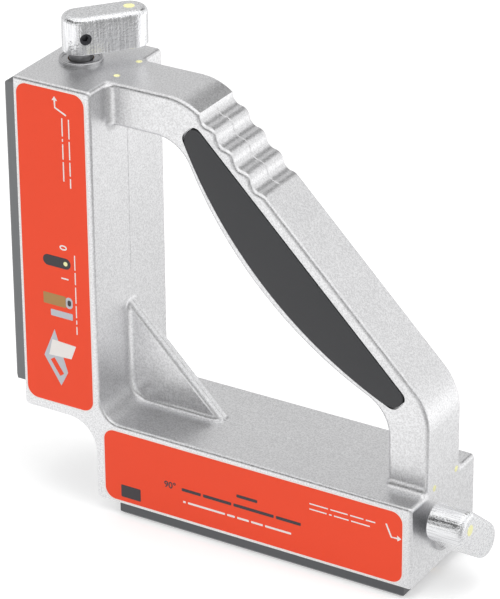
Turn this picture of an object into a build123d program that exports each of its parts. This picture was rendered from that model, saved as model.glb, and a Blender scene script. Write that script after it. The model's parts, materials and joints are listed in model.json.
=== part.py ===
from build123d import *
import math
import os

# A right-angle holding magnet: a cast body with two legs and a looped handle. Each leg holds a
# switchable magnet, a rotor between two steel pole shoes, and a knob on the leg's end turns it.
# Millimetres. The drawing frame has x = 0 on the upright leg's outer face, z = 0 on the base leg's
# outer face and y = 0 at mid thickness. On export everything moves to the row frame, whose
# origin is the centre of the base leg's pole face.

# Legs
LEG_LENGTH = 150.0
LEG_WIDTH = 30.0
HALF = 22.0
NOTCH = 28.5
NOTCH_RADIUS = 11.0
TIP_RADIUS = 1.5
INNER_RADIUS = 8.0
END_RADIUS = 1.5
EDGE_RADIUS = 1.2
RIM_RADIUS = 0.6

# Handle
HANDLE_HALF = 11.2
ARM = 15.0
ARM_TAIL = 15.0
DIAGONAL = 211.0
WINDOW_BELLY = 175.5
WINDOW_CORNER = 57.0
OUTER_RADIUS = 20.0
WINDOW_RADIUS = 14.0
HANDLE_EDGE = 1.5
WINDOW_ROOT = 3.0
ARM_ROOT = 1.5
OVERLAP = 0.5

# Finger ridges, placed along the handle's slope from its middle
RIDGE_COUNT = 4
RIDGE_PITCH = 8.95
RIDGE_DEPTH = 1.55
LAST_VALLEY = -27.9
FIRST_RIDGE_RADIUS = 1.5

# Grip insert: a straight side and a bowed side, let into each face of the handle
GRIP_TOP = 204.8
GRIP_BELLY = 179.6
GRIP_END = 55.8
GRIP_END_LEVEL = 195.4
GRIP_CORNER = 3.0
GRIP_DEPTH = 2.0
GRIP_GAP = 0.35
GRIP_PROUD = 0.3

# Gusset rib in the inner corner
GUSSET_REACH = 96.7
GUSSET_THICKNESS = 5.0
GUSSET_ROOT = 2.0
GUSSET_EDGE = 1.2

# Label plates, let into the front face
LABEL_THICKNESS = 0.4
LABEL_NEAR = 0.8
LABEL_FAR = 28.2
LABEL_RADIUS = 4.5
UPRIGHT_LABEL = (31.8, 148.8)
BASE_LABEL = (31.4, 147.2)

# Pole shoes, in the upright leg: each is a strip on the outer face and a cheek in the pocket
POLE_PROUD = 4.5
POLE_START = 37.0
POLE_END = 147.0
POLE_HALF = 21.0
POLE_CHAMFER = 1.0
SHOE_GAP = 1.5
POCKET_START = 50.0
POCKET_END = 134.0
POCKET_DEPTH = 23.5
POCKET_HALF = 18.2
FIT = 0.2
SPACER_TONGUE = 3.5
SCREW_RADIUS = 2.0
TAP_RADIUS = 1.65
SCREW_HEAD_RADIUS = 4.0
SCREW_HEAD_RECESS = 0.5
SCREW_REACH = 8.0
SCREW_SOCKET = 2.5
SCREW_Y = 11.0
SCREW_INSET = 6.5

# Rotor, spindle and bearings, about a line parallel to the leg
AXIS = 12.4
ROTOR_RADIUS = 8.0
ROTOR_GAP = 0.4
ROTOR_START = 51.0
ROTOR_END = 133.0
DISC = 2.6
MAGNET_COUNT = 4
MAGNET_THICKNESS = 5.0
SPINDLE_RADIUS = 4.0
SPINDLE_SHOULDER = 153.6
KNOB_SHAFT_RADIUS = 3.5
TAIL_RADIUS = 3.0
TAIL_START = 43.0
RUNNING = 0.03
BUSH_RADIUS = 5.2
TAIL_BUSH_RADIUS = 5.0
TAIL_BUSH_START = 42.2
O_RING_Z = 146.0
O_RING_SECTION = 0.8
GROOVE_WIDTH = 2.0
STOP_RADIUS = 1.0
STOP_PITCH = 6.9
STOP_BOTTOM = 130.8
STOP_TOP = 140.0
STOP_RELIEF = 5.6
STOP_CLEARANCE = 0.1
WEDGE_STEPS = 3
WASHER_THICKNESS = 0.9

# Knob, and the seat ring under it
KNOB_ANGLE = 51.0
TRAVEL = 2 * KNOB_ANGLE
KNOB_RADIUS = 6.2
KNOB_REACH = 17.0
KNOB_BOTTOM = 3.8
KNOB_TOP = 16.8
KNOB_CROWN = 2.2
KNOB_HEM = 0.5
KNOB_HOLE_RADIUS = 2.0
KNOB_HOLE_HEIGHT = 9.6
KNOB_BORE = 9.6
FLAT = 3.0
GRUB_LENGTH = 2.0
GRUB_SOCKET = 2.0
SEAT_BORE = 4.4
SEAT_RADIUS = 7.4
SEAT_HEIGHT = 0.9
BEAD = 0.6

ROOT2 = math.sqrt(2)
OVERCUT = 1.0
HEXAGON = 6
ORIGIN = Vector((POLE_START + POLE_END) / 2, 0, -POLE_PROUD)
LEG_SWAP = Axis((0, 0, 0), (1, 0, 1))


# ------------------------------------------------------------------ helpers

def prism(face, half):
    """A face drawn in x and z, made a solid from y = -half to y = +half."""
    return extrude(Plane.XZ * face, amount=half, both=True)


def slope_point(along, level):
    """The x and z of a point, from its place along the handle's slope and its x + z."""
    return ((level + along * ROOT2) / 2, (level - along * ROOT2) / 2)


def corner(face, place, radius):
    """Rounds the vertex of a flat outline that lies nearest to place."""
    vertex = face.vertices().sort_by_distance(Vector(*place))[0]
    return fillet(vertex, radius)


def block(x, y, z):
    """A box from three (low, high) pairs."""
    size = [high - low for low, high in (x, y, z)]
    middle = [(high + low) / 2 for low, high in (x, y, z)]
    return Pos(*middle) * Box(*size)


def rod(radius, low, high):
    """A round bar on the rotor's line, in the upright leg."""
    return Pos(AXIS, 0, (low + high) / 2) * Cylinder(radius, high - low)


def nearest_edges(solid, *places):
    return [solid.edges().sort_by_distance(Vector(*place))[0] for place in places]


def both_faces(*places):
    """Each x, z place on the two faces, y = -half and y = +half."""
    return [(x, side * half, z) for x, z, half in places for side in (-1, 1)]


def in_base_leg(shape):
    """Turns a piece of the upright leg, or a list of them, half round the bisector."""
    if isinstance(shape, list):
        return [in_base_leg(solid) for solid in shape]
    return shape.rotate(LEG_SWAP, 180)


# ------------------------------------------------------------------ body casting

def legs():
    face = Polygon(
        (0, NOTCH), (NOTCH, NOTCH), (NOTCH, 0), (LEG_LENGTH, 0), (LEG_LENGTH, LEG_WIDTH),
        (LEG_WIDTH, LEG_WIDTH), (LEG_WIDTH, LEG_LENGTH), (0, LEG_LENGTH), align=None)
    for place, radius in (
            ((NOTCH, NOTCH), NOTCH_RADIUS), ((0, NOTCH), TIP_RADIUS), ((NOTCH, 0), TIP_RADIUS),
            ((LEG_WIDTH, LEG_WIDTH), INNER_RADIUS), ((LEG_LENGTH, LEG_WIDTH), END_RADIUS),
            ((LEG_WIDTH, LEG_LENGTH), END_RADIUS)):
        face = corner(face, place, radius)
    solid = prism(face, HALF)
    inner = nearest_edges(solid, *both_faces((LEG_WIDTH, LEG_LENGTH / 2, HALF)))
    solid = fillet(inner, EDGE_RADIUS)
    outer = nearest_edges(solid, *both_faces(
        (0, LEG_LENGTH / 2, HALF), (LEG_LENGTH / 2, 0, HALF), (NOTCH, NOTCH / 2, HALF),
        (LEG_WIDTH / 2, LEG_LENGTH, HALF), (LEG_LENGTH, LEG_WIDTH / 2, HALF)))
    return fillet(outer, RIM_RADIUS)


def ridge_comb():
    """What the finger ridges remove: hollows between rounded crests, all arcs of one radius."""
    quarter = RIDGE_PITCH / 4
    sag = RIDGE_DEPTH / 2
    top = DIAGONAL / ROOT2
    middle = top - sag
    radius = (quarter ** 2 + sag ** 2) / (2 * sag)

    def point(along, height):
        return slope_point(along, height * ROOT2)

    start = LAST_VALLEY - (RIDGE_COUNT - 1) * RIDGE_PITCH - quarter
    edges = []
    for step in range(2 * RIDGE_COUNT - 1):
        low = start + 2 * quarter * step
        peak = middle + (sag if step % 2 else -sag)
        edges.append(ThreePointArc(
            point(low, middle), point(low + quarter, peak), point(low + 2 * quarter, middle)))
    last = start + 2 * quarter * (2 * RIDGE_COUNT - 1)
    end = last + quarter
    half_way = top - radius + math.sqrt(radius ** 2 - (quarter / 2) ** 2)
    edges.append(ThreePointArc(
        point(last, middle), point(end - quarter / 2, half_way), point(end, top)))
    above = top + 4 * RIDGE_DEPTH
    lead_in = start - quarter / 2
    rim = [(end, top), (end, above), (lead_in, above), (lead_in, top), (start, middle)]
    edges += [Line(point(*a), point(*b)) for a, b in zip(rim, rim[1:])]
    return make_face(Wire(edges)), point(start, middle)


def handle():
    inner = LEG_LENGTH - ARM
    knee = DIAGONAL - LEG_LENGTH
    outer = [
        (inner, WINDOW_CORNER), (inner, ARM_TAIL), (LEG_LENGTH, ARM_TAIL), (LEG_LENGTH, knee),
        (knee, LEG_LENGTH), (ARM_TAIL, LEG_LENGTH), (ARM_TAIL, inner), (WINDOW_CORNER, inner)]
    edges = [Line(a, b) for a, b in zip(outer, outer[1:])]
    belly = (WINDOW_BELLY / 2, WINDOW_BELLY / 2)
    edges.append(ThreePointArc(outer[-1], belly, outer[0]))
    face = make_face(Wire(edges))
    for place, radius in (
            ((knee, LEG_LENGTH), OUTER_RADIUS), ((LEG_LENGTH, knee), OUTER_RADIUS),
            ((inner, WINDOW_CORNER), WINDOW_RADIUS), ((WINDOW_CORNER, inner), WINDOW_RADIUS)):
        face = corner(face, place, radius)
    comb, first_edge = ridge_comb()
    face = corner(face - comb, first_edge, FIRST_RIDGE_RADIUS)
    solid = prism(face, HANDLE_HALF)
    rims = [
        edge for edge in solid.edges()
        if abs(edge.center().Y) > HANDLE_HALF - FIT
        and min(edge.center().X, edge.center().Z) > ARM_TAIL + OVERLAP]
    return fillet(rims, HANDLE_EDGE)


def arm_root(side):
    """The hollow rounding where one side of the handle's arm meets the upright leg."""
    wall, face = LEG_WIDTH, HANDLE_HALF
    sweep = ARM_ROOT * (1 - math.sqrt(0.5))
    points = [
        (wall + ARM_ROOT, face), (wall + ARM_ROOT, face - OVERLAP), (wall - OVERLAP, face - OVERLAP),
        (wall - OVERLAP, face + ARM_ROOT), (wall, face + ARM_ROOT)]
    edges = [Line(a, b) for a, b in zip(points, points[1:])]
    edges.append(ThreePointArc(points[-1], (wall + sweep, face + sweep), points[0]))
    low = LEG_LENGTH - ARM + HANDLE_EDGE
    strip = extrude(make_face(Wire(edges)), ARM - HANDLE_EDGE - END_RADIUS)
    strip = Pos(0, 0, low) * strip
    return strip if side > 0 else strip.mirror(Plane.XZ)


def gusset():
    inside = LEG_WIDTH - GUSSET_ROOT
    far = GUSSET_REACH - inside
    face = Polygon((inside, inside), (far, inside), (inside, far), align=None)
    solid = prism(face, GUSSET_THICKNESS / 2)
    crest = nearest_edges(
        solid, *both_faces((GUSSET_REACH / 2, GUSSET_REACH / 2, GUSSET_THICKNESS / 2)))
    return fillet(crest, GUSSET_EDGE)


def grip_outline(gap):
    """The insert's outline, or with a gap the pocket's: a chord above, an arc below, round ends."""
    top = GRIP_TOP + gap * ROOT2
    belly = GRIP_BELLY - gap * ROOT2
    reach = GRIP_END + gap
    level = GRIP_END_LEVEL - gap * ROOT2
    ends = [slope_point(-reach, level), slope_point(-reach, top), slope_point(reach, top),
            slope_point(reach, level)]
    edges = [Line(a, b) for a, b in zip(ends, ends[1:])]
    edges.append(ThreePointArc(ends[-1], slope_point(0, belly), ends[0]))
    face = make_face(Wire(edges))
    for end in ends:
        face = corner(face, end, GRIP_CORNER)
    return face


def grip_insert(side):
    low = HANDLE_HALF - GRIP_DEPTH
    solid = extrude(Plane.XZ * grip_outline(0), amount=-(GRIP_DEPTH + GRIP_PROUD))
    solid = Pos(0, low, 0) * solid
    return solid if side > 0 else solid.mirror(Plane.XZ)


def grip_pocket(side):
    solid = extrude(Plane.XZ * grip_outline(GRIP_GAP), amount=-2 * GRIP_DEPTH)
    solid = Pos(0, HANDLE_HALF - GRIP_DEPTH, 0) * solid
    return solid if side > 0 else solid.mirror(Plane.XZ)


def label_plate(x, z):
    face = Pos(sum(x) / 2, sum(z) / 2) * RectangleRounded(x[1] - x[0], z[1] - z[0], LABEL_RADIUS)
    solid = extrude(Plane.XZ * face, amount=LABEL_THICKNESS)
    return Pos(0, LABEL_THICKNESS - HALF, 0) * solid


def upright_label():
    return label_plate((LABEL_NEAR, LABEL_FAR), UPRIGHT_LABEL)


def base_label():
    return label_plate(BASE_LABEL, (LABEL_NEAR, LABEL_FAR))


def screw_places():
    """The y and z of an upright leg's four pole screws."""
    ends = (POLE_START + SCREW_INSET, POLE_END - SCREW_INSET)
    return [(side * SCREW_Y, z) for side in (-1, 1) for z in ends]


def stop_pin():
    return Pos(AXIS + STOP_PITCH, 0, (STOP_BOTTOM + STOP_TOP) / 2) * Cylinder(
        STOP_RADIUS, STOP_TOP - STOP_BOTTOM)


def leg_cavity():
    """Pocket, bearing bores, stop pin hole and tapped holes of the upright leg."""
    cavity = block((-OVERCUT, POCKET_DEPTH), (-POCKET_HALF, POCKET_HALF), (POCKET_START, POCKET_END))
    cavity += rod(BUSH_RADIUS, POCKET_END - OVERCUT, LEG_LENGTH + OVERCUT)
    cavity += rod(TAIL_BUSH_RADIUS, TAIL_BUSH_START, POCKET_START + OVERCUT)
    cavity += stop_pin()
    for y, z in screw_places():
        hole = Cylinder(TAP_RADIUS, 2 * (SCREW_REACH + OVERCUT), rotation=(0, 90, 0))
        cavity += Pos(0, y, z) * hole
    return cavity


def body_casting():
    solid = legs() + handle() + gusset()
    inner = LEG_LENGTH - ARM
    solid = fillet(nearest_edges(solid, (LEG_WIDTH, 0, inner), (inner, 0, LEG_WIDTH)), WINDOW_ROOT)
    web = GUSSET_THICKNESS / 2
    middle = GUSSET_REACH / 2
    roots = both_faces((LEG_WIDTH, middle, web), (middle, LEG_WIDTH, web))
    solid = fillet(nearest_edges(solid, *roots), GUSSET_ROOT)
    for side in (-1, 1):
        solid += arm_root(side) + in_base_leg(arm_root(side))
        solid -= grip_pocket(side)
    solid -= upright_label() + base_label()
    solid -= leg_cavity()
    solid -= in_base_leg(leg_cavity())
    return solid


# ------------------------------------------------------------------ pole shoes, in the upright leg

def screw_bore(y, z):
    """Clearance hole and countersink through a pole strip."""
    depth = SCREW_HEAD_RADIUS - SCREW_RADIUS - FIT
    head = Cone(SCREW_HEAD_RADIUS, SCREW_RADIUS + FIT, depth, rotation=(0, 90, 0))
    mouth = Cylinder(SCREW_HEAD_RADIUS, SCREW_HEAD_RECESS, rotation=(0, 90, 0))
    shank = Cylinder(SCREW_RADIUS + FIT, 2 * POLE_PROUD, rotation=(0, 90, 0))
    bore = Pos(-POLE_PROUD + SCREW_HEAD_RECESS + depth / 2, y, z) * head
    bore += Pos(-POLE_PROUD + SCREW_HEAD_RECESS / 2, y, z) * mouth
    return bore + Pos(-POLE_PROUD / 2, y, z) * shank


def pole_shoe(side):
    """One steel shoe: the strip that grips the work and the cheek that hugs the rotor."""
    y_strip = sorted((side * SHOE_GAP, side * POLE_HALF))
    y_cheek = sorted((side * SHOE_GAP, side * (POCKET_HALF - FIT)))
    strip = block((-POLE_PROUD, 0), y_strip, (POLE_START, POLE_END))
    middle_y = sum(y_strip) / 2
    rims = nearest_edges(
        strip, (-POLE_PROUD, side * POLE_HALF, LEG_LENGTH / 2), (-POLE_PROUD, middle_y, POLE_START),
        (-POLE_PROUD, middle_y, POLE_END))
    strip = chamfer(rims, POLE_CHAMFER)
    cheek = block(
        (-OVERLAP, POCKET_DEPTH - FIT), y_cheek, (POCKET_START + FIT, POCKET_END - FIT))
    shoe = strip + cheek - rod(ROTOR_RADIUS + ROTOR_GAP, POCKET_START, POCKET_END)
    for y, z in screw_places():
        if y * side > 0:
            shoe -= screw_bore(y, z)
    return shoe


def pole_spacers():
    """Brass between the two shoes: a strip with a tongue outside the rotor, a bar behind it."""
    width = (-SHOE_GAP, SHOE_GAP)
    length = (POCKET_START + FIT, POCKET_END - FIT)
    strip = block((-POLE_PROUD, 0), width, (POLE_START + POLE_CHAMFER, POLE_END - POLE_CHAMFER))
    strip += block((-OVERLAP, SPACER_TONGUE), width, length)
    back = AXIS + ROTOR_RADIUS + 2 * ROTOR_GAP
    return [strip, block((back, POCKET_DEPTH - FIT), width, length)]


def pole_screws():
    """Countersunk socket screws from the strip into the casting."""
    screws = []
    depth = SCREW_HEAD_RADIUS - SCREW_RADIUS - FIT
    top = -POLE_PROUD + SCREW_HEAD_RECESS
    for y, z in screw_places():
        head = Pos(top + depth / 2, y, z) * Cone(
            SCREW_HEAD_RADIUS - FIT, SCREW_RADIUS, depth, rotation=(0, 90, 0))
        neck = Pos((top + depth) / 2, y, z) * Cylinder(
            SCREW_RADIUS, abs(top + depth), rotation=(0, 90, 0))
        thread = Pos(SCREW_REACH / 2, y, z) * Cylinder(TAP_RADIUS, SCREW_REACH, rotation=(0, 90, 0))
        socket = Pos(top, y, z) * (Plane.YZ * extrude(
            RegularPolygon(SCREW_SOCKET / 2, HEXAGON, major_radius=False), depth))
        screws.append(head + neck + thread - socket)
    return screws


# ------------------------------------------------------------------ rotor, in the upright leg

def turned(shape, degrees):
    """Turns a piece about the rotor's line."""
    return shape.rotate(Axis((AXIS, 0, 0), (0, 0, 1)), degrees)


def core_span():
    return ROTOR_START + DISC, ROTOR_END - DISC


def rotor_halves():
    """Two steel segments, one each side of the magnets."""
    low, high = core_span()
    slot = MAGNET_THICKNESS / 2
    round_bar = rod(ROTOR_RADIUS, low, high)
    halves = []
    for side in (-1, 1):
        keep = block((AXIS - ROTOR_RADIUS, AXIS + ROTOR_RADIUS),
                     sorted((side * slot, side * ROTOR_RADIUS)), (low, high))
        halves.append(turned(round_bar & keep, KNOB_ANGLE))
    return halves


def rotor_magnets():
    low, high = core_span()
    slot = MAGNET_THICKNESS / 2
    reach = math.sqrt(ROTOR_RADIUS ** 2 - slot ** 2)
    length = (high - low) / MAGNET_COUNT
    magnets = []
    for number in range(MAGNET_COUNT):
        z = (low + number * length, low + (number + 1) * length)
        magnets.append(turned(block((AXIS - reach, AXIS + reach), (-slot, slot), z), KNOB_ANGLE))
    return magnets


def stop_sector():
    """The part of the disc's rim that the stop pin needs free, at rest."""
    margin = math.degrees(math.asin((STOP_RADIUS + STOP_CLEARANCE) / STOP_PITCH))
    sweep = TRAVEL + 2 * margin
    ring = rod(2 * ROTOR_RADIUS, ROTOR_END - DISC, ROTOR_END) - rod(
        STOP_RELIEF, ROTOR_END - DISC, ROTOR_END)
    reach = 3 * ROTOR_RADIUS
    points = [(AXIS, 0)]
    for step in range(WEDGE_STEPS + 1):
        angle = math.radians(step * sweep / WEDGE_STEPS - margin)
        points.append((AXIS + reach * math.cos(angle), reach * math.sin(angle)))
    wedge = Pos(0, 0, ROTOR_END - DISC) * extrude(Polygon(*points, align=None), DISC)
    return ring & wedge


def spindle():
    disc = rod(ROTOR_RADIUS, ROTOR_END - DISC, ROTOR_END) - stop_sector()
    shaft = rod(SPINDLE_RADIUS, ROTOR_END, SPINDLE_SHOULDER)
    shaft += rod(KNOB_SHAFT_RADIUS, SPINDLE_SHOULDER, LEG_LENGTH + KNOB_BOTTOM + KNOB_BORE - FIT)
    half = GROOVE_WIDTH / 2
    groove = rod(2 * SPINDLE_RADIUS, O_RING_Z - half, O_RING_Z + half)
    groove -= rod(SPINDLE_RADIUS - 2 * O_RING_SECTION, O_RING_Z - half, O_RING_Z + half)
    flat = block(
        (AXIS - SPINDLE_RADIUS, AXIS + SPINDLE_RADIUS), (-2 * SPINDLE_RADIUS, -FLAT),
        (SPINDLE_SHOULDER, LEG_LENGTH + KNOB_TOP))
    return disc + shaft - groove - turned(flat, KNOB_ANGLE)


def tail_pin():
    disc = rod(ROTOR_RADIUS, ROTOR_START, ROTOR_START + DISC)
    return disc + rod(TAIL_RADIUS, TAIL_START, ROTOR_START)


def bearing_bush():
    return rod(BUSH_RADIUS, POCKET_END, LEG_LENGTH) - rod(
        SPINDLE_RADIUS + RUNNING, POCKET_END, LEG_LENGTH)


def tail_bush():
    return rod(TAIL_BUSH_RADIUS, TAIL_BUSH_START, POCKET_START) - rod(
        TAIL_RADIUS + RUNNING, TAIL_BUSH_START, POCKET_START)


def thrust_washer():
    top = ROTOR_END + WASHER_THICKNESS
    return rod(BUSH_RADIUS, ROTOR_END, top) - rod(SPINDLE_RADIUS, ROTOR_END, top)


def o_ring():
    return Pos(AXIS, 0, O_RING_Z) * Torus(SPINDLE_RADIUS - O_RING_SECTION, O_RING_SECTION)


# ------------------------------------------------------------------ knob, on the upright leg

def knob():
    """A capsule-shaped lever with a crowned top. Its hub sits on the spindle."""
    plan = Pos(KNOB_REACH / 2, 0) * SlotCenterToCenter(KNOB_REACH, 2 * KNOB_RADIUS)
    solid = extrude(plan, KNOB_TOP - KNOB_BOTTOM)
    solid = fillet(solid.faces().sort_by(Axis.Z)[-1].edges(), KNOB_CROWN)
    solid = fillet(solid.faces().sort_by(Axis.Z)[0].edges(), KNOB_HEM)
    bottom = LEG_LENGTH + KNOB_BOTTOM
    solid = Pos(AXIS, 0, bottom) * solid
    solid -= rod(KNOB_SHAFT_RADIUS, bottom - OVERCUT, bottom + KNOB_BORE)
    hole = Pos(AXIS, -KNOB_RADIUS / 2, LEG_LENGTH + KNOB_HOLE_HEIGHT) * Cylinder(
        KNOB_HOLE_RADIUS, KNOB_RADIUS + OVERCUT, rotation=(90, 0, 0))
    return turned(solid - hole, KNOB_ANGLE)


def grub_screw():
    """A socket set screw that bears on the spindle's flat."""
    z = LEG_LENGTH + KNOB_HOLE_HEIGHT
    body = Pos(AXIS, -FLAT - GRUB_LENGTH / 2, z) * Cylinder(
        KNOB_HOLE_RADIUS, GRUB_LENGTH, rotation=(90, 0, 0))
    socket = extrude(
        Plane.XZ * RegularPolygon(GRUB_SOCKET / 2, HEXAGON, major_radius=False), GRUB_LENGTH / 2)
    return turned(body - Pos(AXIS, -FLAT - GRUB_LENGTH / 2, z) * socket, KNOB_ANGLE)


def seat_ring():
    """A flat ring with a raised bead round its rim, in the knob's shadow."""
    ring = rod(SEAT_RADIUS, LEG_LENGTH, LEG_LENGTH + SEAT_HEIGHT)
    ring += Pos(AXIS, 0, LEG_LENGTH + SEAT_HEIGHT) * Torus(SEAT_RADIUS - BEAD, BEAD)
    return ring - rod(SEAT_BORE, LEG_LENGTH - OVERCUT, LEG_LENGTH + SEAT_HEIGHT + OVERCUT)


# ------------------------------------------------------------------ export

def save(name, shape):
    """Writes one node, moved to the row frame. A list is a group of separate solids."""
    if isinstance(shape, list):
        moved = Compound(children=[Pos(*(-ORIGIN)) * solid for solid in shape])
    else:
        moved = Pos(*(-ORIGIN)) * shape
    export_step(moved, f"parts/{name}.step")


def leg_pieces(front):
    """A leg's pieces by name, made in the upright leg. front is the side, -1 or +1 in y, that faces
    the label once the piece is in its own leg."""
    return {
        "pole_shoe_front": pole_shoe(front),
        "pole_shoe_rear": pole_shoe(-front),
        "pole_spacers": pole_spacers(),
        "pole_screws": pole_screws(),
        "rotor_halves": rotor_halves(),
        "rotor_magnets": rotor_magnets(),
        "spindle": spindle(),
        "tail_pin": tail_pin(),
        "bearing_bush": bearing_bush(),
        "tail_bush": tail_bush(),
        "stop_pin": stop_pin(),
        "thrust_washer": thrust_washer(),
        "o_ring": o_ring(),
        "seat_ring": seat_ring(),
        "knob": knob(),
        "grub_screw": grub_screw(),
    }


def main():
    os.makedirs("parts", exist_ok=True)
    save("body_casting", body_casting())
    save("grip_insert_front", grip_insert(-1))
    save("grip_insert_rear", grip_insert(1))
    save("upright_label", upright_label())
    save("base_label", base_label())
    for name, piece in leg_pieces(-1).items():
        save(f"upright_{name}", piece)
    for name, piece in leg_pieces(1).items():
        save(f"base_{name}", in_base_leg(piece))


main()
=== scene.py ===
import json
import math

import bmesh
import bpy
import numpy as np
from mathutils import Matrix, Vector


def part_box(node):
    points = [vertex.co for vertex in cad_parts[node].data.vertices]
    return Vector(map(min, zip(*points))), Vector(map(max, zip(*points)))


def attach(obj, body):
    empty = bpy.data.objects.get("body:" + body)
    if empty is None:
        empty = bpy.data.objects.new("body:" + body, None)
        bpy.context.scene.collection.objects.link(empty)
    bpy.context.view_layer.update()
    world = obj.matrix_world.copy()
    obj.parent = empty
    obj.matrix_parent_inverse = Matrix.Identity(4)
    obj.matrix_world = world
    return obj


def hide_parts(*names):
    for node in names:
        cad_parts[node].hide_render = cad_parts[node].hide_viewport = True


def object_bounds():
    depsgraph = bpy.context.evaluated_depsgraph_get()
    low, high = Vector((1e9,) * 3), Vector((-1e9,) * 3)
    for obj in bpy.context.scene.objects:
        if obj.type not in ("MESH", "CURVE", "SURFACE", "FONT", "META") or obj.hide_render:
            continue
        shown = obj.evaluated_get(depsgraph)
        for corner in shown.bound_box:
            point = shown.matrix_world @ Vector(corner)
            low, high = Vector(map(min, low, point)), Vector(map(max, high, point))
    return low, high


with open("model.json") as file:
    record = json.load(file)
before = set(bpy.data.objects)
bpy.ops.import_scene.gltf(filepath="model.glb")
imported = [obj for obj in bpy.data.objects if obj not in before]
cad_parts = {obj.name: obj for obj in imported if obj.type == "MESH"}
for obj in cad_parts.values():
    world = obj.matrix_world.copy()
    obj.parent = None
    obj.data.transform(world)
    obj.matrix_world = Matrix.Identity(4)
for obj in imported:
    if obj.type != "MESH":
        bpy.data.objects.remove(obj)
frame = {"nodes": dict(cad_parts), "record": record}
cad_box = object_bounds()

# A right-angle holding magnet: a cast body with a looped handle, an orange plate on the front of
# each leg, steel pole strips on its outer faces and a switch knob on each leg's end. Metres, in the
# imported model's frame. "Upright" and "base" are the two legs, and x and z measured from the corner
# where their outer faces would meet are called corner measures.

MM = 0.001
NODES = frame["nodes"]
CAST_LOW, CAST_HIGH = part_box("body_casting")
CORNER = Vector((CAST_LOW.x, 0.0, CAST_LOW.z))
LEG = CAST_HIGH.x - CAST_LOW.x
HALF = CAST_HIGH.y


# ------------------------------------------------------------------ shader nodes

class Signal:
    """An output socket. Arithmetic on signals and numbers adds Math nodes to its tree."""

    def __init__(self, tree, socket):
        self.tree = tree
        self.socket = socket

    def math(self, operation, *values):
        settings = {"operation": operation}
        return self.tree.node("ShaderNodeMath", settings, dict(enumerate(values)))

    def __add__(self, other):
        return self.math("ADD", self, other)

    def __radd__(self, other):
        return self.math("ADD", other, self)

    def __sub__(self, other):
        return self.math("SUBTRACT", self, other)

    def __rsub__(self, other):
        return self.math("SUBTRACT", other, self)

    def __mul__(self, other):
        return self.math("MULTIPLY", self, other)

    def __rmul__(self, other):
        return self.math("MULTIPLY", other, self)

    def __truediv__(self, other):
        return self.math("DIVIDE", self, other)

    def above(self, low, high):
        """0 below low, 1 above high, and a smooth rise between."""
        settings = {"interpolation_type": "SMOOTHSTEP"}
        inputs = {"Value": self, "From Min": low, "From Max": high}
        return self.tree.node("ShaderNodeMapRange", settings, inputs)


class Tree:
    """A node tree, filled through one method."""

    def __init__(self, tree):
        self.tree = tree
        tree.nodes.clear()

    def node(self, kind, settings=None, inputs=None, output=0):
        """Adds a node, sets its settings and then its sockets, and returns one of its outputs."""
        made = self.tree.nodes.new(kind)
        for name, value in (settings or {}).items():
            setattr(made, name, value)
        for name, value in (inputs or {}).items():
            if isinstance(value, Signal):
                self.tree.links.new(value.socket, made.inputs[name])
            else:
                made.inputs[name].default_value = value
        return Signal(self, made.outputs[output]) if len(made.outputs) else None

    def shade(self, colour, factor):
        """A colour times a number."""
        settings = {"operation": "SCALE"}
        return self.node("ShaderNodeVectorMath", settings, {0: colour, "Scale": factor})


class Finish(Tree):
    """A material on Object coordinates, in metres."""

    def __init__(self, name):
        self.material = bpy.data.materials.new(name)
        self.material.use_nodes = True
        super().__init__(self.material.node_tree)
        self.place = self.node("ShaderNodeTexCoord", output="Object")

    def stretched(self, scale):
        """Object coordinates, scaled apart in x, y and z."""
        return self.node("ShaderNodeMapping", inputs={"Vector": self.place, "Scale": scale})

    def noise(self, size, detail=2.0, stretch=(1, 1, 1), roughness=0.5):
        """Cloudy noise from 0 to 1, with blotches about size metres across."""
        inputs = {"Vector": self.stretched(stretch), "Scale": 1 / size, "Detail": detail}
        inputs["Roughness"] = roughness
        return self.node("ShaderNodeTexNoise", inputs=inputs)

    def bump(self, height, depth, under=None):
        """A normal from a height of 0 to 1, depth metres deep."""
        inputs = {"Height": height, "Distance": depth, "Strength": 1.0}
        if under:
            inputs["Normal"] = under
        return self.node("ShaderNodeBump", inputs=inputs)

    def close(self, colour, roughness, metallic=0.0, normal=None, **other):
        """Ends the tree in one shader, and returns the material."""
        inputs = {"Base Color": colour, "Roughness": roughness, "Metallic": metallic, **other}
        if normal:
            inputs["Normal"] = normal
        shader = self.node("ShaderNodeBsdfPrincipled", inputs=inputs)
        self.node("ShaderNodeOutputMaterial", inputs={"Surface": shader})
        return self.material


# ------------------------------------------------------------------ finishes

def cast_aluminium():
    """Shot-blasted die casting: a fine bright speckle over slow, shallow unevenness."""
    finish = Finish("cast_aluminium")
    grain = finish.noise(0.55 * MM, detail=2.0, roughness=0.7)
    cloud = finish.noise(14 * MM, detail=3.0)
    dents = finish.noise(2.4 * MM, detail=2.0)
    tone = 0.80 + grain.above(0.32, 0.68) * 0.27 - cloud * 0.07
    colour = finish.shade((0.93, 0.93, 0.94), tone)
    roughness = 0.24 + grain * 0.14 + cloud * 0.06
    normal = finish.bump(grain, 0.05 * MM, finish.bump(dents, 0.05 * MM))
    return finish.close(colour, roughness, 1.0, normal)


def moulded_rubber():
    """Charcoal soft-touch insert, with a fine moulded grain."""
    finish = Finish("moulded_rubber")
    grain = finish.noise(0.35 * MM, detail=3.0)
    cloud = finish.noise(22 * MM, detail=2.0)
    colour = finish.shade((0.052, 0.053, 0.056), 0.86 + cloud * 0.16 + grain * 0.1)
    normal = finish.bump(grain, 0.02 * MM)
    return finish.close(colour, 0.50 + cloud * 0.08, 0.0, normal, **{"Specular IOR Level": 0.35})


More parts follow.
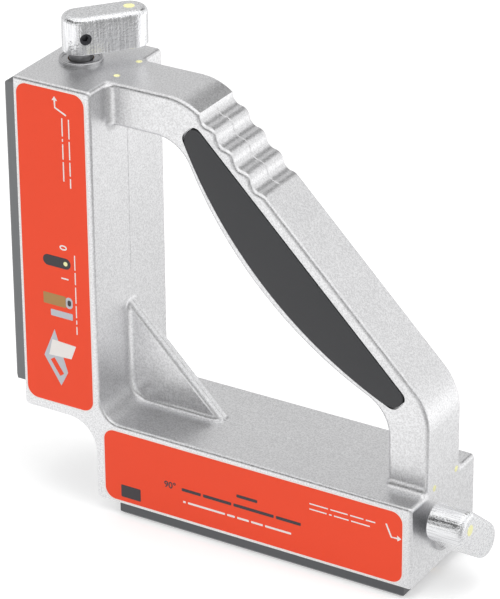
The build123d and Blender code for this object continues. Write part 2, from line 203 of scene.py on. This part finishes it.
def printed_plate(name, colour, roughness=0.34):
    """Screen-printed plate: even ink with a slight orange peel."""
    finish = Finish(name)
    peel = finish.noise(0.9 * MM, detail=2.0)
    cloud = finish.noise(30 * MM, detail=2.0)
    shaded = finish.shade(colour, 0.97 + cloud * 0.05 + peel * 0.02)
    normal = finish.bump(peel, 0.006 * MM)
    gloss = {"Specular IOR Level": 0.25}
    return finish.close(shaded, roughness + cloud * 0.06, 0.0, normal, **gloss)


def ground_steel(name, colour, along):
    """Steel with grinding lines that run along one axis: 0 for x, 1 for y, 2 for z."""
    finish = Finish(name)
    stretch = tuple(0.03 if axis == along else 1.0 for axis in range(3))
    lines = finish.noise(0.22 * MM, detail=3.0, stretch=stretch)
    cloud = finish.noise(16 * MM, detail=3.0)
    tone = 0.84 + lines * 0.22 + cloud * 0.10
    normal = finish.bump(lines, 0.012 * MM)
    return finish.close(finish.shade(colour, tone), 0.3 + cloud * 0.14, 1.0, normal)


def polished_plate(name, along):
    """Bright plating on a knob: fine draw lines along one axis, 0 for x and 2 for z, and pits."""
    finish = Finish(name)
    stretch = tuple(0.05 if axis == along else 1.0 for axis in range(3))
    lines = finish.noise(0.6 * MM, detail=3.0, stretch=stretch)
    pits = finish.noise(0.8 * MM, detail=2.0)
    tone = 0.80 + lines.above(0.3, 0.62) * 0.26 + pits * 0.08
    normal = finish.bump(lines, 0.12 * MM, finish.bump(pits.above(0.25, 0.6), 0.04 * MM))
    return finish.close(finish.shade((0.90, 0.905, 0.92), tone), 0.10 + pits * 0.12, 1.0, normal)


def plain_metal(name, colour, roughness):
    """A turned or plated metal with a little unevenness."""
    finish = Finish(name)
    cloud = finish.noise(1.6 * MM, detail=3.0)
    shaded = finish.shade(colour, 0.92 + cloud * 0.14)
    return finish.close(shaded, roughness + cloud * 0.1, 1.0, finish.bump(cloud, 0.01 * MM))


def plain_polymer(name, colour, roughness):
    """A moulded polymer or rubber with a little unevenness."""
    finish = Finish(name)
    cloud = finish.noise(1.2 * MM, detail=3.0)
    shaded = finish.shade(colour, 0.92 + cloud * 0.14)
    return finish.close(shaded, roughness, 0.0, finish.bump(cloud, 0.008 * MM))


CAST = cast_aluminium()
RUBBER = moulded_rubber()
ORANGE = printed_plate("orange_ink", (0.87, 0.073, 0.026))
PALE_INK = printed_plate("pale_ink", (0.83, 0.80, 0.77))
DARK_INK = printed_plate("dark_ink", (0.055, 0.05, 0.055))
TAN_INK = printed_plate("tan_ink", (0.42, 0.24, 0.09))
GREY_INK = printed_plate("grey_ink", (0.52, 0.54, 0.58))
YELLOW_PAINT = printed_plate("yellow_paint", (0.87, 0.85, 0.46), 0.4)
# Painted light and shade: both pole strips are one ground steel, and the base strip's copy is painted
# darker than the upright's as shade.
UPRIGHT_POLE_LIT_COLOUR = (0.20, 0.205, 0.21)
BASE_POLE_SHADED_COLOUR = (0.125, 0.128, 0.134)

SLOT_FINISHES = {
    "cast_body": CAST,
    "grip_black": RUBBER,
    "label_orange": ORANGE,
    "spacer_brass": plain_metal("ground_brass", (0.72, 0.52, 0.24), 0.3),
    "screw_steel": plain_metal("black_oxide", (0.10, 0.10, 0.11), 0.4),
    "core_steel": plain_metal("turned_steel", (0.42, 0.42, 0.43), 0.3),
    "magnet_nickel": plain_metal("nickel_plate", (0.66, 0.63, 0.58), 0.2),
    "bush_bronze": plain_metal("sintered_bronze", (0.52, 0.33, 0.17), 0.45),
    "washer_nylon": plain_polymer("natural_nylon", (0.75, 0.73, 0.66), 0.45),
    "seal_rubber": plain_polymer("black_seal", (0.03, 0.03, 0.03), 0.5),
    "seat_steel": plain_metal("turned_seat", (0.55, 0.55, 0.56), 0.2),
}
LEG_FINISHES = {
    ("pole_steel", "upright"): ground_steel("pole_steel_upright", UPRIGHT_POLE_LIT_COLOUR, 2),
    ("pole_steel", "base"): ground_steel("pole_steel_base_painted_shade", BASE_POLE_SHADED_COLOUR, 0),
    ("knob_bright", "upright"): polished_plate("knob_plate_upright", 2),
    ("knob_bright", "base"): polished_plate("knob_plate_base", 0),
}


def finish_cad_nodes():
    """Gives every CAD node the finish of its material slot."""
    for part in frame["record"]["subparts"]:
        node = NODES[part["node"]]
        leg = part["node"].split("_")[0]
        name = part["material_slot"]
        material = LEG_FINISHES.get((name, leg)) or SLOT_FINISHES[name]
        for place in node.material_slots:
            place.material = material


# ------------------------------------------------------------------ new pieces

def at(x, y, z):
    """Corner measures in millimetres, made points in the frame."""
    points = np.stack(np.broadcast_arrays(x, y, z), -1) * MM
    return points + np.array(CORNER)


def grid_faces(rows, columns, wrap):
    """Quads over a grid of points. With wrap, the last column joins the first."""
    row, column = np.meshgrid(np.arange(rows - 1), np.arange(columns - 1 + wrap), indexing="ij")
    following = (column + 1) % columns
    corners = [row * columns + column, row * columns + following,
               (row + 1) * columns + following, (row + 1) * columns + column]
    return np.stack(corners, -1).reshape(-1, 4)


MERGE_DISTANCE = 0.0005
DEGENERATE_DISTANCE = 0.0002
SHARP_ANGLE = math.radians(40)


def add_piece(name, points, faces, material, body, flat=False):
    """Makes a mesh, merges its doubles, turns its faces outwards and lets it ride on a body."""
    mesh = bpy.data.meshes.new(name)
    mesh.from_pydata(np.reshape(points, (-1, 3)).tolist(), [], [list(face) for face in faces])
    edit = bmesh.new()
    edit.from_mesh(mesh)
    bmesh.ops.remove_doubles(edit, verts=edit.verts, dist=MERGE_DISTANCE * MM)
    bmesh.ops.dissolve_degenerate(edit, edges=edit.edges, dist=DEGENERATE_DISTANCE * MM)
    bmesh.ops.recalc_face_normals(edit, faces=edit.faces)
    edit.to_mesh(mesh)
    edit.free()
    if not flat:
        mesh.shade_smooth()
        mesh.set_sharp_from_angle(angle=SHARP_ANGLE)
    mesh.materials.append(material)
    piece = bpy.data.objects.new(name, mesh)
    bpy.context.collection.objects.link(piece)
    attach(piece, body)
    return piece


INSERT_END = 55.8
INSERT_TOP = 144.82
INSERT_BELLY = 127.0
INSERT_END_LEVEL = 138.17
INSERT_ROUND = 3.3
HANDLE_HALF = 11.2
INSERT_DEPTH = 2.0
INSERT_RIM = 0.15
INSERT_ROLL = 0.5
INSERT_CROWN = 0.7


def grip_insert(name, side):
    """A crowned pad. Along the slope s and across it v from -1 to 1, the plan runs between an arc
    below and a straight line above, and closes at both ends as a half circle does. Its height is
    a rim, a steep roll, (1 - v^14)^0.5, and a low dome, 1 - v^2, that all fade at the ends."""
    turn = np.linspace(-1, 1, 161)
    along = INSERT_END * np.sin(turn * math.pi / 2)
    sag = INSERT_END_LEVEL - INSERT_BELLY
    radius = (INSERT_END ** 2 + sag ** 2) / (2 * sag)
    below = INSERT_BELLY + radius - np.sqrt(radius ** 2 - along ** 2)
    into_end = np.clip((np.abs(along) - INSERT_END + INSERT_ROUND) / INSERT_ROUND, 0, 1)
    reach = (INSERT_TOP - below) / 2 * np.sqrt(1 - into_end ** 2)
    across = np.sin(np.linspace(-1, 1, 41) * math.pi / 2)
    level = ((INSERT_TOP + below) / 2)[:, None] + reach[:, None] * across
    fade = np.sqrt(1 - into_end ** 4)[:, None]
    roll = np.sqrt(1 - np.abs(across) ** 14) * INSERT_ROLL
    height = INSERT_RIM + fade * (roll + (1 - across ** 2) * INSERT_CROWN * (1 - (turn ** 4)[:, None]))
    level = np.concatenate([level[:, :1], level, level[:, -1:]], 1)
    floor = np.full((len(turn), 1), -INSERT_DEPTH)
    height = np.concatenate([floor, height, floor], 1)
    points = at((level + along[:, None]) / math.sqrt(2), side * (HANDLE_HALF + height),
                (level - along[:, None]) / math.sqrt(2))
    faces = grid_faces(*level.shape, wrap=1)
    piece = add_piece(name, points, faces, RUBBER, "frame")
    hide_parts(name.replace("pad", "insert"))


FLASH_HALF = 0.32
FLASH_HEIGHT = 0.16
FLASH_STEP = 0.5
FLASH_BURIED = 0.02
FLASH_SKIRT = 0.08
FLASH_TAPER = 2
SHORTEST_FLASH = 6
FAST_WAVE = 0.9
SLOW_WAVE = 0.23
TOUCHING = 0.01
LEG_WIDTH = 30.0
LEG_LENGTH = 150.0
SLOPE_LEVEL = 200.0
RIDGES_START = 64.0
RIDGES_END = 92.0


def flash_shows(x, z):
    """Whether the flash line shows at a place: on the legs' inner faces, the rib, the window and
    the ridged part of the slope, but not on the ends, the outer faces or inside."""
    inside = min(x, z) > LEG_WIDTH - TOUCHING
    if x + z < SLOPE_LEVEL:
        return inside and max(x, z) < LEG_LENGTH - 1
    return RIDGES_START < x < RIDGES_END


def outline_runs():
    """The casting's section at mid thickness, as open runs of points with outward directions."""
    part = bmesh.new()
    part.from_mesh(NODES["body_casting"].data)
    bmesh.ops.remove_doubles(part, verts=part.verts, dist=0.001 * MM)
    cut = bmesh.ops.bisect_plane(
        part, geom=[*part.verts, *part.edges, *part.faces], plane_co=(0, 0, 0), plane_no=(0, 1, 0))
    part.normal_update()
    joined = {}
    for edge in cut["geom_cut"]:
        if isinstance(edge, bmesh.types.BMEdge):
            ends = [vertex for vertex in edge.verts
                    if flash_shows(*((vertex.co - CORNER).xz / MM))]
            if len(ends) == 2:
                joined.setdefault(ends[0], []).append(ends[1])
                joined.setdefault(ends[1], []).append(ends[0])
    runs = []
    seen = set()
    for start in sorted(joined, key=lambda vertex: (len(joined[vertex]), *vertex.co)):
        run = []
        vertex = start
        while vertex is not None and vertex not in seen:
            seen.add(vertex)
            run.append(vertex)
            vertex = next((other for other in joined[vertex] if other not in seen), None)
        if len(run) > 1:
            runs.append((np.array([v.co for v in run]), np.array([v.normal for v in run])))
    part.free()
    return runs


def flash_line():
    """Where the casting's two halves met: a low bead, height times 1 - w^2 over w from -1 to 1,
    carried along the section at mid thickness. It rises and falls a little and ends in nothing."""
    points, faces = [], []
    count = 0
    for run, outward in outline_runs():
        steps = np.linalg.norm(np.diff(run, axis=0), axis=1)
        length = np.concatenate([[0], np.cumsum(steps)])
        if length[-1] < SHORTEST_FLASH * MM:
            continue
        place = np.linspace(0, length[-1], max(int(length[-1] / (FLASH_STEP * MM)), 4))
        path = np.stack([np.interp(place, length, run[:, axis]) for axis in range(3)], 1)
        away = np.stack([np.interp(place, length, outward[:, axis]) for axis in range(3)], 1)
        away[:, 1] = 0
        away /= np.linalg.norm(away, axis=1)[:, None]
        swell = 0.8 + 0.2 * np.sin(place / MM * FAST_WAVE) * np.sin(place / MM * SLOW_WAVE + 1)
        swell *= np.clip(np.minimum(place, length[-1] - place) / (FLASH_TAPER * MM), 0, 1)
        across = np.linspace(-1, 1, 7)
        height = swell[:, None] * FLASH_HEIGHT * (1 - across ** 2) - FLASH_BURIED
        height[:, [0, -1]] = -FLASH_SKIRT
        ring = path[:, None] + away[:, None] * height[..., None] * MM
        ring[..., 1] += across * FLASH_HALF * MM
        points.append(ring.reshape(-1, 3))
        faces.append(grid_faces(*height.shape, wrap=1) + count)
        count += height.size
    add_piece("flash_line", np.concatenate(points), np.concatenate(faces), CAST, "frame")


PRINT_LIFT = 0.05
PRINT_SINK = 0.1


def print_mark(name, outlines, material, layer=1):
    """Ink on a front plate: flat shapes in x and z corner measures, each a thin solid whose side
    runs round the outline. A higher layer lies over a lower one."""
    points, faces = [], []
    for outline in outlines:
        outline = np.array(outline, float)
        count = len(outline)
        first = sum(len(ring) for ring in points)
        face = -HALF / MM - PRINT_LIFT * layer
        for y in (face, -HALF / MM + PRINT_SINK):
            points.append(at(outline[:, 0], y, outline[:, 1]))
        faces += (grid_faces(2, count, wrap=1) + first).tolist()
        faces.append(list(range(first, first + count)))
        faces.append(list(range(first + 2 * count - 1, first + count - 1, -1)))
    add_piece(name, np.concatenate(points), faces, material, "frame", flat=True)


def oval(x, z, half_x, half_z, radius=None, steps=10):
    """A rectangle with rounded corners, round a middle. Without a radius its ends are round."""
    radius = min(half_x, half_z) if radius is None else radius
    angle = np.concatenate([np.linspace(quarter, quarter + 1, steps) for quarter in range(4)])
    turn = angle * math.pi / 2
    sign_x = np.repeat([1, -1, -1, 1], steps)
    sign_z = np.repeat([1, 1, -1, -1], steps)
    return np.stack([x + sign_x * (half_x - radius) + radius * np.cos(turn),
                     z + sign_z * (half_z - radius) + radius * np.sin(turn)], 1)


def stroke(path, width):
    """A bar of even width along a path of two or three points, mitred at the bend."""
    path = np.array(path, float)
    along = np.gradient(path, axis=0)
    along /= np.linalg.norm(along, axis=1)[:, None]
    aside = np.stack([-along[:, 1], along[:, 0]], 1) * width / 2
    return np.concatenate([path + aside, (path - aside)[::-1]])


def arrow(tail, bend, tip):
    """A bent pale arrow: a stroke, and a head as a triangle at its tip."""
    along = np.array(tip, float) - bend
    along /= np.linalg.norm(along)
    aside = np.array([-along[1], along[0]])
    neck = tip - along * ARROW_HEAD
    head = [neck + aside * ARROW_HEAD * 0.7, neck - aside * ARROW_HEAD * 0.7, tip]
    return [stroke([tail, bend, neck], ARROW_WIDTH), head]


ARROW_WIDTH = 0.6
ARROW_HEAD = 1.5
PLATE_EDGE = 0.45
PLATE_CORNER = 4.5


def plate_edge(name, node):
    """A pale narrow frame just inside a plate's outline."""
    low, high = (np.array((corner - CORNER).xz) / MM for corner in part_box(node))
    middle = (low + high) / 2
    half = (high - low) / 2
    outer = oval(*middle, *half, PLATE_CORNER, 16)
    inner = oval(*middle, *(half - PLATE_EDGE), PLATE_CORNER - PLATE_EDGE, 16)
    y = -HALF / MM
    rings = [at(ring[:, 0], depth, ring[:, 1]) for ring, depth in (
        (outer, y + PRINT_SINK), (outer, y - PRINT_LIFT),
        (inner, y - PRINT_LIFT), (inner, y + PRINT_SINK))]
    points = np.stack(rings, 1)
    points = np.concatenate([points, points[:1]])
    add_piece(name, points, grid_faces(len(points), 4, wrap=1), PALE_INK, "frame")


NUMERAL_SHARE = 0.7
INK_SPREAD = 0.06


def numeral(name, text, x, z, height, turn, material):
    """A plain numeral on a front plate, as a thin solid. turn is in degrees about the middle."""
    curve = bpy.data.curves.new(name, "FONT")
    curve.body = text
    curve.size = height / NUMERAL_SHARE * MM
    curve.align_x = "CENTER"
    curve.align_y = "CENTER"
    curve.extrude = (PRINT_LIFT + PRINT_SINK) / 2 * MM
    curve.offset = INK_SPREAD * MM
    curve.resolution_u = 6
    source = bpy.data.objects.new(name, curve)
    mesh = bpy.data.meshes.new_from_object(source)
    bpy.data.objects.remove(source)
    stand = Matrix.Rotation(math.radians(90), 4, "X")
    spin = Matrix.Rotation(math.radians(-turn), 4, "Y")
    depth = -HALF / MM - (PRINT_LIFT - PRINT_SINK) / 2
    middle = Vector(at(x, depth, z))
    mesh.transform(Matrix.Translation(middle) @ spin @ stand)
    mesh.name = name
    mesh.materials.clear()
    mesh.materials.append(material)
    piece = bpy.data.objects.new(name, mesh)
    bpy.context.collection.objects.link(piece)
    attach(piece, "frame")


ARROWS = {
    "upright_arrow": ((20.7, 140.2), (16.4, 142.2), (16.3, 146.2)),
    "base_arrow": ((140.7, 22.5), (142.7, 18.0), (146.4, 18.2)),
}
# Text, middle, height, turn and ink.
NUMERALS = {
    "off_numeral": ("0", 17.6, 91.8, 2.8, -90, PALE_INK),
    "on_numeral": ("1", 17.9, 80.4, 2.8, -90, PALE_INK),
    "angle_numeral": ("90\u00b0", 57.9, 12.8, 2.4, 0, DARK_INK),
}
# Ink, start, direction, width and the length of each bar.
RULES = {
    "angle_rules": (DARK_INK, (62.5, 12.6), (1, 0), 1.15, (7.5, 11.0, 15.5, 9.5)),
    "angle_rule_above": (DARK_INK, (84.0, 16.4), (1, 0), 1.15, (8.0,)),
    "switch_rules": (PALE_INK, (63.0, 8.0), (1, 0), 0.75, (1.0, 14.5, 3.0, 4.5, 4.5, 10.0)),
    "base_note_rules": (PALE_INK, (112.0, 21.6), (1, 0), 0.45, (7.0, 6.5, 5.0, 3.5)),
    "base_note_rules_below": (PALE_INK, (112.0, 19.6), (1, 0), 0.45, (6.5, 1.0, 5.5, 7.0)),
    "upright_note_rules": (PALE_INK, (21.6, 139.0), (0, -1), 0.45, (7.0, 6.5, 5.0, 3.5)),
    "upright_note_rules_below": (PALE_INK, (19.0, 139.0), (0, -1), 0.45, (6.5, 1.0, 5.5, 7.0)),
    "work_rules": (PALE_INK, (22.2, 90.0), (0, -1), 0.4, (5.5, 4.5, 6.0, 4.5, 1.5, 3.0)),
}
TABLE_CORNERS = [(13.1, 60.3), (8.6, 49.6), (15.1, 39.4), (18.0, 45.0)]
BLOCK_CORNERS = [(12.1, 56.3), (10.6, 50.2), (19.6, 50.6), (21.6, 55.8)]
BAR_ON_TABLE = [(11.9, 49.0), (15.6, 43.6)]
BAR_ON_TABLE_WIDTH = 1.9


def work_pictures():
    """Blocks that stand for the work: a bar with a bore, a strip, and a block and bar on a table."""
    print_mark("bar_pictogram", [oval(13.6, 71.6, 4.5, 2.1, 0.3)], TAN_INK)
    print_mark("bar_pictogram_end", [oval(19.4, 71.6, 1.4, 2.1)], GREY_INK)
    print_mark("bar_pictogram_bore", [oval(19.5, 71.6, 0.7, 1.1)], DARK_INK, layer=2)
    print_mark("strip_pictogram", [oval(16.3, 66.6, 4.4, 1.2, 0.3)], GREY_INK)
    print_mark("table_pictogram", [TABLE_CORNERS], GREY_INK)
    print_mark("block_pictogram", [BLOCK_CORNERS], PALE_INK, layer=2)
    bar = stroke(BAR_ON_TABLE, BAR_ON_TABLE_WIDTH)
    print_mark("bar_on_table_pictogram", [bar], ORANGE, layer=2)


def printed_marks():
    """The plates' plain marks: arrows to the knobs, the switch and its two positions, an angle,
    bars in place of print, pictures of the work, and a bare dark panel."""
    plate_edge("upright_plate_edge", "upright_label")
    plate_edge("base_plate_edge", "base_label")
    for name, path in ARROWS.items():
        print_mark(name, arrow(*path), PALE_INK)
    print_mark("switch_pictogram", [oval(15.0, 86.0, 5.5, 2.0)], DARK_INK)
    print_mark("switch_pictogram_dot", [oval(18.5, 86.0, 0.8, 0.8)], YELLOW_PAINT, layer=2)
    for name, sign in NUMERALS.items():
        numeral(name, *sign)
    for name, rule in RULES.items():
        rule_row(name, *rule)
    work_pictures()
    print_mark("bare_panel", [oval(42.1, 5.3, 3.9, 2.35, 0.4)], DARK_INK)


RULE_GAP = 0.9


def rule_row(name, material, start, direction, width, lengths):
    """Plain bars in a row, with even gaps, in place of a line of print."""
    along = np.array(direction, float)
    place = np.array(start, float)
    bars = []
    for length in lengths:
        middle = place + along * length / 2
        half = np.abs(along) * length / 2 + (1 - np.abs(along)) * width / 2
        bars.append(oval(*middle, *half, width * 0.2, steps=3))
        place = place + along * (length + RULE_GAP)
    print_mark(name, bars, material)


DOT_HEIGHT = 0.12
DOT_LIFT = 0.02
DOT_SKIRT = 0.1


def paint_dot(name, place, normal, radius, body):
    """A small dome of paint: height times 1 - r^4 for r from 0 to 1, with a buried skirt."""
    normal = Vector(normal)
    side = normal.orthogonal().normalized()
    other = normal.cross(side)
    share = np.array([0.0, 0.4, 0.7, 0.9, 1.0, 1.0])
    height = DOT_HEIGHT * (1 - share ** 4) + DOT_LIFT
    height[-1] = -DOT_SKIRT
    angle = np.linspace(0, 2 * math.pi, 33)[:-1]
    spread = np.cos(angle)[:, None] * np.array(side) + np.sin(angle)[:, None] * np.array(other)
    points = at(*place) + (share[:, None, None] * radius * spread
                           + height[:, None, None] * np.array(normal)) * MM
    faces = grid_faces(len(share), len(angle), wrap=1).tolist()
    last = len(share) * len(angle)
    faces.append(list(range(last - len(angle), last)))
    add_piece(name, points, faces, YELLOW_PAINT, body)


KNOB_AXIS = 12.4
KNOB_REACH = 17.0
KNOB_ANGLE = math.radians(51)
KNOB_TOP = 166.8
KNOB_DOT = 1.9
END_DOT = 1.1
UPRIGHT_END_DOT_X = 29.6
BASE_END_DOT_Z = 30.6
UPRIGHT_END_DOTS = {"front": -5.0, "rear": 8.5}
BASE_END_DOTS = {"front": -6.5, "rear": 8.5}


def switch_dots():
    """Yellow dots: one on each lever's tip, and two on each leg's end for its two positions."""
    out = KNOB_AXIS + KNOB_REACH * math.cos(KNOB_ANGLE)
    aside = KNOB_REACH * math.sin(KNOB_ANGLE)
    paint_dot("upright_knob_dot", (out, aside, KNOB_TOP), (0, 0, 1), KNOB_DOT,
              "upright_rotor")
    paint_dot("base_knob_dot", (KNOB_TOP, -aside, out), (1, 0, 0), KNOB_DOT,
              "base_rotor")
    for name, y in UPRIGHT_END_DOTS.items():
        place = (UPRIGHT_END_DOT_X, y, LEG_LENGTH)
        paint_dot(f"upright_end_dot_{name}", place, (0, 0, 1), END_DOT, "frame")
    for name, y in BASE_END_DOTS.items():
        place = (LEG_LENGTH, y, BASE_END_DOT_Z)
        paint_dot(f"base_end_dot_{name}", place, (1, 0, 0), END_DOT, "frame")


# ------------------------------------------------------------------ studio

AZIMUTH = math.radians(31.182)
ELEVATION = math.radians(26.833)
ROLL = math.radians(-0.497)
DISTANCE = 1.1623
AIM_RIGHT = 1.357 * MM
AIM_UP = 2.245 * MM
LENS = 211.31
SENSOR = 36
MIDDLE = CORNER + Vector((LEG / 2, 0, LEG / 2))


def place_camera():
    """A long lens, right of the front and above, on the middle of the square round both legs."""
    back = Vector((
        math.sin(AZIMUTH) * math.cos(ELEVATION), -math.cos(AZIMUTH) * math.cos(ELEVATION),
        math.sin(ELEVATION)))
    right = Vector((math.cos(AZIMUTH), math.sin(AZIMUTH), 0))
    up = back.cross(right)
    side = right * math.cos(ROLL) + up * math.sin(ROLL)
    top = up * math.cos(ROLL) - right * math.sin(ROLL)
    camera = bpy.data.objects.new("camera", bpy.data.cameras.new("camera"))
    bpy.context.collection.objects.link(camera)
    camera.matrix_world = Matrix.Translation(
        MIDDLE + back * DISTANCE + right * AIM_RIGHT + up * AIM_UP) @ Matrix((
            (side.x, top.x, back.x, 0), (side.y, top.y, back.y, 0),
            (side.z, top.z, back.z, 0), (0, 0, 0, 1)))
    camera.data.lens = LENS
    camera.data.sensor_width = SENSOR
    bpy.context.scene.camera = camera


def background_share(tree):
    """1 on a ray that shows the background: seen directly, in metal or through glass. With it,
    1 on a ray that a shiny surface sent on."""
    path = {name: tree.node("ShaderNodeLightPath", output=name) for name in (
        "Is Camera Ray", "Is Glossy Ray", "Is Transmission Ray")}
    total = path["Is Camera Ray"] + path["Is Glossy Ray"] + path["Is Transmission Ray"]
    return total.math("MINIMUM", total, 1.0), path["Is Glossy Ray"]


ROOM_LEVEL = 0.80
RIGHT_WALL = 0.42
CEILING = 0.45
CAMERA_SIDE = 0.95
# Direction, the angles where the patch ends and where it is full, and how dark it is.
DARK_PATCHES = (
    ((0.10, 0.78, 0.62), 19, 8, 0.85),
    ((0.93, -0.36, 0.08), 26, 10, 0.75),
)
DARKEST = 0.10
SOFT_LEVEL = 0.72


def toward(look, direction, end, full):
    """A soft patch of the room about one direction: 1 within the angle full, 0 past end."""
    x, y, z = look
    length = math.sqrt(sum(part * part for part in direction))
    along = (x * direction[0] + y * direction[1] + z * direction[2]) / length
    return along.above(math.cos(math.radians(end)), math.cos(math.radians(full)))


def light_room():
    """A white room with soft panels above and right, and darker places behind the camera and
    high at the back, which the metal mirrors."""
    world = bpy.data.worlds.new("studio")
    bpy.context.scene.world = world
    world.use_nodes = True
    tree = Tree(world.node_tree)
    direction = tree.node("ShaderNodeTexCoord", output="Generated")
    split = tree.node("ShaderNodeSeparateXYZ", inputs={0: direction})
    x, y, z = (Signal(tree, split.socket.node.outputs[axis]) for axis in range(3))
    shown, glossy = background_share(tree)
    mirrored = ROOM_LEVEL + x.above(-0.35, 0.75) * RIGHT_WALL + z.above(0.62, 0.88) * CEILING
    band = z.above(0.30, 0.44) * (1 - z.above(0.62, 0.74)) * (0 - y).above(0.15, 0.45)
    mirrored = mirrored - band * CAMERA_SIDE
    for toward_patch, end, full, depth in DARK_PATCHES:
        mirrored = mirrored - toward((x, y, z), toward_patch, end, full) * depth
    mirrored = mirrored.math("MAXIMUM", mirrored, DARKEST)
    level = shown * (glossy * mirrored + (1 - glossy)) + (1 - shown) * SOFT_LEVEL
    shader = tree.node("ShaderNodeBackground", inputs={"Strength": level})
    tree.node("ShaderNodeOutputWorld", inputs={"Surface": shader})


# Place in metres, width in metres and power in watts.
PANELS = {
    "overhead_panel": ((0.1, 0.1, 1.4), 1.2, 9.0),
    "right_panel": ((1.3, -0.2, 0.7), 0.9, 6.0),
    "front_panel": ((-0.7, -1.3, 0.8), 0.9, 6.0),
}


def panel(name, place, size, power):
    """A square soft light, turned to the middle of the object."""
    lamp = bpy.data.lights.new(name, "AREA")
    lamp.shape = "SQUARE"
    lamp.size = size
    lamp.energy = power
    holder = bpy.data.objects.new(name, lamp)
    bpy.context.collection.objects.link(holder)
    holder.location = place
    holder.rotation_mode = "QUATERNION"
    holder.rotation_quaternion = (Vector(place) - MIDDLE).to_track_quat("Z", "Y")
    holder.visible_glossy = False


FLOOR_REACH = 4.0
FLOOR_COLOUR = (0.80, 0.80, 0.80)
FLOOR_GLOW = 0.34


def pale_floor():
    """A white floor that keeps the shadow, under the base leg's pole face. In shiny surfaces it shows
    a painted reflection instead: it glows brighter at the back right, darker at the front right and
    lighter at the front left.
    """
    floor = Finish("pale_floor")
    shown, glossy = background_share(floor)
    cloud = floor.noise(400 * MM)
    plain = floor.node("ShaderNodeBsdfDiffuse", inputs={
        "Color": floor.shade(FLOOR_COLOUR, 0.99 + cloud * 0.02)})
    split = floor.node("ShaderNodeSeparateXYZ", inputs={0: floor.place}).socket.node.outputs
    x, y = (Signal(floor, split[axis]) for axis in range(2))
    front = (0 - y).above(-0.05, 0.08)
    # Painted reflection: to rays from shiny surfaces the floor glows as painted light and shade,
    # brighter back right, darker front right, lighter front left.
    painted_reflection_level = 0.80 + x.above(0.08, 0.16) * y.above(-0.05, 0.12) * 0.45
    painted_reflection_level = painted_reflection_level - x.above(0.08, 0.20) * front * 0.42 + (0 - x).above(-0.1, 0.02) * front * 0.24
    seen = floor.node("ShaderNodeEmission", inputs={"Strength": painted_reflection_level})
    glow = floor.node("ShaderNodeEmission", inputs={"Strength": shown * FLOOR_GLOW})
    both = floor.node("ShaderNodeAddShader", inputs={0: plain, 1: glow})
    surface = floor.node("ShaderNodeMixShader", inputs={0: glossy, 1: both, 2: seen})
    floor.node("ShaderNodeOutputMaterial", inputs={"Surface": surface})
    mesh = bpy.data.meshes.new("floor")
    signs = ((-1, -1), (1, -1), (1, 1), (-1, 1))
    corners = [(right * FLOOR_REACH, back * FLOOR_REACH, cad_box[0].z) for right, back in signs]
    mesh.from_pydata(corners, [], [(0, 1, 2, 3)])
    mesh.materials.append(floor.material)
    sheet = bpy.data.objects.new("floor", mesh)
    bpy.context.collection.objects.link(sheet)


bpy.context.scene.view_settings.view_transform = "Standard"
place_camera()
light_room()
for panel_name, settings in PANELS.items():
    panel(panel_name, *settings)
pale_floor()
finish_cad_nodes()
grip_insert("grip_pad_front", -1)
grip_insert("grip_pad_rear", 1)
flash_line()
printed_marks()
switch_dots()
